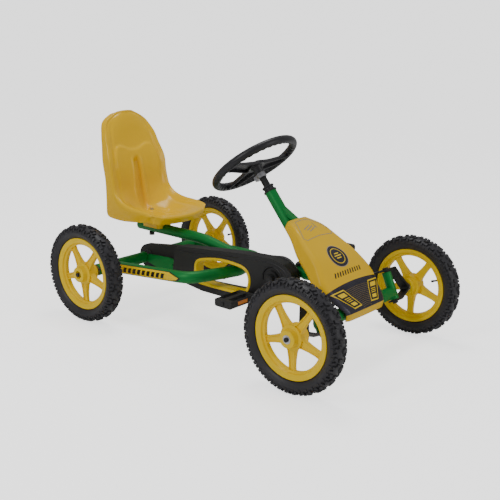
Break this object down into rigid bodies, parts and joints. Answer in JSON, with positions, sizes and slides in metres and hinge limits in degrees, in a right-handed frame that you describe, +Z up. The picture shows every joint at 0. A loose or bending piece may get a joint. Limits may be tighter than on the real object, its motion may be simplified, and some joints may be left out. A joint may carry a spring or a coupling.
{
  "type": "pedal go kart",
  "caption": "Child's pedal go kart with a tubular frame, moulded bucket seat, knobbly tyres, steering wheel, nose fairing and enclosed chain drive.",
  "frame": {"origin": "on the ground, midway between the axles and midway between the wheels", "axes": "+X forward, +Y to the driver's left, +Z up"},
  "size_m": [1.153, 0.682, 0.6402],
  "materials": {
    "tyre_rubber": "knobbly black rubber",
    "rim_yellow": "moulded yellow plastic, satin gloss",
    "bearing_steel": "ground steel",
    "green_paint": "glossy green powder coat",
    "seat_yellow": "glossy blow-moulded plastic",
    "fairing_yellow": "satin moulded plastic",
    "black_plastic": "matt black moulded plastic",
    "grip_black": "satin black moulded grip",
    "reflector_orange": "clear orange reflector",
    "bush_plastic": "nylon",
    "plain_steel": "zinc-plated steel",
    "black_steel": "black-coated steel"
  },
  "bodies": {
    "frame": {"main_tube": "green_paint", "crank_shell": "green_paint", "crank_bushes": "bush_plastic", "rear_loop": "green_paint", "axle_housing": "green_paint", "axle_bushes": "bush_plastic", "hub_bracket": "green_paint", "tube_saddle": "green_paint", "front_frame": "green_paint", "column_bushes": "bush_plastic", "head_collar": "black_plastic", "joint_bolt": "black_steel", "fairing": "fairing_yellow", "chain_guard_front": "black_plastic", "guard_trim": "fairing_yellow", "chain_guard_rear": "black_plastic", "guard_screws": "black_steel", "chain": "plain_steel"},
    "seat": {"seat_shell": "seat_yellow", "seat_bracket": "fairing_yellow", "seat_bolts": "plain_steel"},
    "seat_knob": {"seat_knob": "black_plastic"},
    "steering": {"steering_wheel": "grip_black", "wheel_cap": "black_plastic", "steering_column": "black_steel", "column_clamp": "plain_steel", "steering_lever": "black_steel"},
    "front_axle": {"front_beam": "green_paint", "pivot_bolt": "black_steel"},
    "knuckle_left": {"knuckle_left": "black_steel", "kingpin_left": "black_steel", "wheel_nut_left": "black_steel"},
    "knuckle_right": {"knuckle_right": "black_steel", "kingpin_right": "black_steel", "wheel_nut_right": "black_steel"},
    "tie_rod_left": {"tie_rod_left": "black_steel"},
    "tie_rod_right": {"tie_rod_right": "black_steel"},
    "front_wheel_left": {"tyre_front_left": "tyre_rubber", "rim_front_left": "rim_yellow", "bearings_front_left": "bearing_steel"},
    "front_wheel_right": {"tyre_front_right": "tyre_rubber", "rim_front_right": "rim_yellow", "bearings_front_right": "bearing_steel"},
    "rear_axle": {"rear_axle": "plain_steel", "sprocket": "plain_steel", "drive_hub": "plain_steel", "axle_nuts_rear": "black_steel", "tyre_rear_right": "tyre_rubber", "rim_rear_right": "rim_yellow"},
    "rear_wheel_left": {"tyre_rear_left": "tyre_rubber", "rim_rear_left": "rim_yellow", "bearings_rear_left": "bearing_steel"},
    "crank": {"crank_axle": "plain_steel", "chainring": "plain_steel", "crank_left": "black_steel", "crank_right": "black_steel"},
    "pedal_left": {"pedal_left": "black_plastic", "reflectors_left": "reflector_orange"},
    "pedal_right": {"pedal_right": "black_plastic", "reflectors_right": "reflector_orange"}
  },
  "joints": [
    {"name": "steering_turn", "type": "hinge", "parent": "frame", "child": "steering", "pos_m": [0.023, 0, 0.529], "axis": [-0.6361, 0, 0.7716], "range_deg": [-25, 25]},
    {"name": "axle_swing", "type": "hinge", "parent": "frame", "child": "front_axle", "pos_m": [0.414, 0, 0.16], "axis": [1, 0, 0], "range_deg": [-5, 5]},
    {"name": "knuckle_left_turn", "type": "hinge", "parent": "front_axle", "child": "knuckle_left", "pos_m": [0.4175, 0.19, 0.159], "axis": [-0.4067, 0, 0.9135], "range_deg": [-25, 25]},
    {"name": "knuckle_right_turn", "type": "hinge", "parent": "front_axle", "child": "knuckle_right", "pos_m": [0.4175, -0.19, 0.159], "axis": [-0.4067, 0, 0.9135], "range_deg": [-25, 25]},
    {"name": "tie_rod_left_swing", "type": "hinge", "parent": "knuckle_left", "child": "tie_rod_left", "pos_m": [0.35656, 0.166, 0.19262], "axis": [-0.4067, 0, 0.9135], "range_deg": [-30, 30]},
    {"name": "tie_rod_right_swing", "type": "hinge", "parent": "knuckle_right", "child": "tie_rod_right", "pos_m": [0.35656, -0.166, 0.19262], "axis": [-0.4067, 0, 0.9135], "range_deg": [-30, 30]},
    {"name": "wheel_front_left_spin", "type": "hinge", "parent": "knuckle_left", "child": "front_wheel_left", "pos_m": [0.4175, 0.306, 0.159], "axis": [0, 1, 0], "continuous": true},
    {"name": "wheel_front_right_spin", "type": "hinge", "parent": "knuckle_right", "child": "front_wheel_right", "pos_m": [0.4175, -0.306, 0.159], "axis": [0, 1, 0], "continuous": true},
    {"name": "rear_axle_spin", "type": "hinge", "parent": "frame", "child": "rear_axle", "pos_m": [-0.4175, 0, 0.159], "axis": [0, 1, 0], "continuous": true},
    {"name": "wheel_rear_left_spin", "type": "hinge", "parent": "rear_axle", "child": "rear_wheel_left", "pos_m": [-0.4175, 0.306, 0.159], "axis": [0, 1, 0], "continuous": true},
    {"name": "crank_spin", "type": "hinge", "parent": "frame", "child": "crank", "pos_m": [0.158, 0, 0.207], "axis": [0, 1, 0], "continuous": true},
    {"name": "pedal_left_spin", "type": "hinge", "parent": "crank", "child": "pedal_left", "pos_m": [0.22877, 0.159, 0.26581], "axis": [0, 1, 0], "continuous": true},
    {"name": "pedal_right_spin", "type": "hinge", "parent": "crank", "child": "pedal_right", "pos_m": [0.08723, -0.159, 0.14819], "axis": [0, 1, 0], "continuous": true},
    {"name": "seat_slide", "type": "slide", "parent": "frame", "child": "seat", "axis": [1, 0, 0], "range_m": [-0.02, 0.07]},
    {"name": "seat_knob_turn", "type": "hinge", "parent": "seat", "child": "seat_knob", "pos_m": [-0.431, 0, 0.233], "axis": [0, 0, 1], "range_deg": [-180, 180]}
  ],
  "couplings": [
    {"joint": "crank_spin", "follows": "rear_axle_spin", "ratio": 0.5},
    {"joint": "knuckle_left_turn", "follows": "steering_turn", "ratio": 1},
    {"joint": "knuckle_right_turn", "follows": "steering_turn", "ratio": 1},
    {"joint": "tie_rod_left_swing", "follows": "steering_turn", "ratio": -1.14},
    {"joint": "tie_rod_right_swing", "follows": "steering_turn", "ratio": -1.14}
  ]
}
